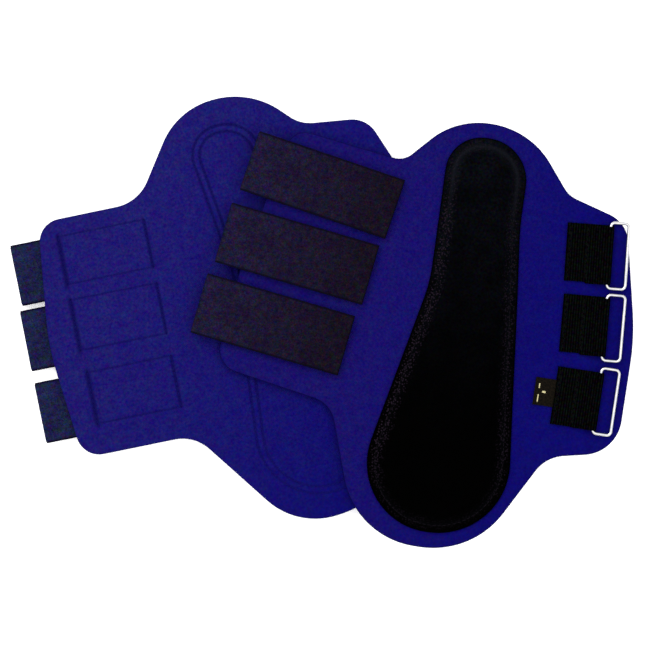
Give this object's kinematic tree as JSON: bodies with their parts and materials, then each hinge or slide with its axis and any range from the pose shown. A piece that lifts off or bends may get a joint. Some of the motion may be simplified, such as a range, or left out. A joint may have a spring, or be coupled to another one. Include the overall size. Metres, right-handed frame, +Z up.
{
  "type": "tendon boots",
  "caption": "Pair of blue neoprene tendon boots lying flat, one partly on the other, with black strike pads, folded hook-and-loop straps and elastic tabs holding wire rings.",
  "frame": {"origin": "middle of the bottom of the pair, on the surface that it lies on", "axes": "+X across the pair, from the lower boot's strap tips to the upper boot's rings; +Y up the legs; +Z up, out of the surface"},
  "size_m": [0.3778, 0.275, 0.0203],
  "materials": {
    "neoprene": "nylon jersey over foam neoprene, fine matt knit",
    "pad": "black synthetic leather, matt, with a stitched border",
    "foam": "closed-cell foam",
    "loop_webbing": "soft brushed loop pile",
    "hook_tape": "fine moulded hooks on a woven tape",
    "elastic": "ribbed woven elastic",
    "chrome_wire": "bright nickel-chrome plated wire",
    "label": "woven damask label with plain marks"
  },
  "bodies": {
    "lower_boot": {"lower_neoprene_shell": "neoprene", "lower_strike_pad_cover": "pad", "lower_strike_pad_insert": "foam", "lower_strap_base_1": "loop_webbing", "lower_strap_base_2": "loop_webbing", "lower_strap_base_3": "loop_webbing", "lower_elastic_tab_1": "elastic", "lower_elastic_tab_2": "elastic", "lower_elastic_tab_3": "elastic", "lower_size_label": "label"},
    "lower_flap_1": {"lower_strap_flap_1": "loop_webbing", "lower_strap_hooks_1": "hook_tape"},
    "lower_flap_2": {"lower_strap_flap_2": "loop_webbing", "lower_strap_hooks_2": "hook_tape"},
    "lower_flap_3": {"lower_strap_flap_3": "loop_webbing", "lower_strap_hooks_3": "hook_tape"},
    "lower_ring_1": {"lower_ring_1": "chrome_wire"},
    "lower_ring_2": {"lower_ring_2": "chrome_wire"},
    "lower_ring_3": {"lower_ring_3": "chrome_wire"},
    "upper_boot": {"upper_neoprene_shell": "neoprene", "upper_strike_pad_cover": "pad", "upper_strike_pad_insert": "foam", "upper_strap_base_1": "loop_webbing", "upper_strap_base_2": "loop_webbing", "upper_strap_base_3": "loop_webbing", "upper_elastic_tab_1": "elastic", "upper_elastic_tab_2": "elastic", "upper_elastic_tab_3": "elastic", "upper_size_label": "label"},
    "upper_flap_1": {"upper_strap_flap_1": "loop_webbing", "upper_strap_hooks_1": "hook_tape"},
    "upper_flap_2": {"upper_strap_flap_2": "loop_webbing", "upper_strap_hooks_2": "hook_tape"},
    "upper_flap_3": {"upper_strap_flap_3": "loop_webbing", "upper_strap_hooks_3": "hook_tape"},
    "upper_ring_1": {"upper_ring_1": "chrome_wire"},
    "upper_ring_2": {"upper_ring_2": "chrome_wire"},
    "upper_ring_3": {"upper_ring_3": "chrome_wire"}
  },
  "joints": [
    {"name": "upper_boot_lift", "type": "slide", "parent": "lower_boot", "child": "upper_boot", "axis": [0, 0, 1], "range_m": [0, 0.15]},
    {"name": "lower_flap_1_fold", "type": "hinge", "parent": "lower_boot", "child": "lower_flap_1", "pos_m": [-0.18548, 0.02883, 0.0024], "axis": [-0.1994, 0.9799, 0], "range_deg": [0, 180]},
    {"name": "lower_flap_2_fold", "type": "hinge", "parent": "lower_boot", "child": "lower_flap_2", "pos_m": [-0.17959, -0.0111, 0.0024], "axis": [-0.1942, 0.981, 0], "range_deg": [0, 180]},
    {"name": "lower_flap_3_fold", "type": "hinge", "parent": "lower_boot", "child": "lower_flap_3", "pos_m": [-0.17065, -0.05503, 0.0024], "axis": [-0.1994, 0.9799, 0], "range_deg": [0, 180]},
    {"name": "lower_ring_1_swing", "type": "hinge", "parent": "lower_boot", "child": "lower_ring_1", "pos_m": [0.02624, 0.09622, 0.0024], "axis": [-0.4099, 0.9121, 0], "range_deg": [0, 160]},
    {"name": "lower_ring_2_swing", "type": "hinge", "parent": "lower_boot", "child": "lower_ring_2", "pos_m": [0.04482, 0.05643, 0.0024], "axis": [-0.3939, 0.9191, 0], "range_deg": [0, 160]},
    {"name": "lower_ring_3_swing", "type": "hinge", "parent": "lower_boot", "child": "lower_ring_3", "pos_m": [0.06263, 0.01393, 0.0024], "axis": [-0.3371, 0.9415, 0], "range_deg": [0, 160]},
    {"name": "upper_flap_1_fold", "type": "hinge", "parent": "upper_boot", "child": "upper_flap_1", "pos_m": [-0.04263, 0.0977, 0.0179], "axis": [-0.3206, -0.9472, 0], "range_deg": [0, 180]},
    {"name": "upper_flap_2_fold", "type": "hinge", "parent": "upper_boot", "child": "upper_flap_2", "pos_m": [-0.05857, 0.05417, 0.0179], "axis": [-0.2807, -0.9598, 0], "range_deg": [0, 180]},
    {"name": "upper_flap_3_fold", "type": "hinge", "parent": "upper_boot", "child": "upper_flap_3", "pos_m": [-0.07333, 0.01139, 0.0179], "axis": [-0.2807, -0.9598, 0], "range_deg": [0, 180]},
    {"name": "upper_ring_1_swing", "type": "hinge", "parent": "upper_boot", "child": "upper_ring_1", "pos_m": [0.17394, 0.0408, 0.0076], "axis": [-0.0698, -0.9976, 0], "range_deg": [0, 160]},
    {"name": "upper_ring_2_swing", "type": "hinge", "parent": "upper_boot", "child": "upper_ring_2", "pos_m": [0.1712, -0.003, 0.0076], "axis": [-0.0872, -0.9962, 0], "range_deg": [0, 160]},
    {"name": "upper_ring_3_swing", "type": "hinge", "parent": "upper_boot", "child": "upper_ring_3", "pos_m": [0.16666, -0.04752, 0.0076], "axis": [-0.1478, -0.989, 0], "range_deg": [0, 160]}
  ]
}
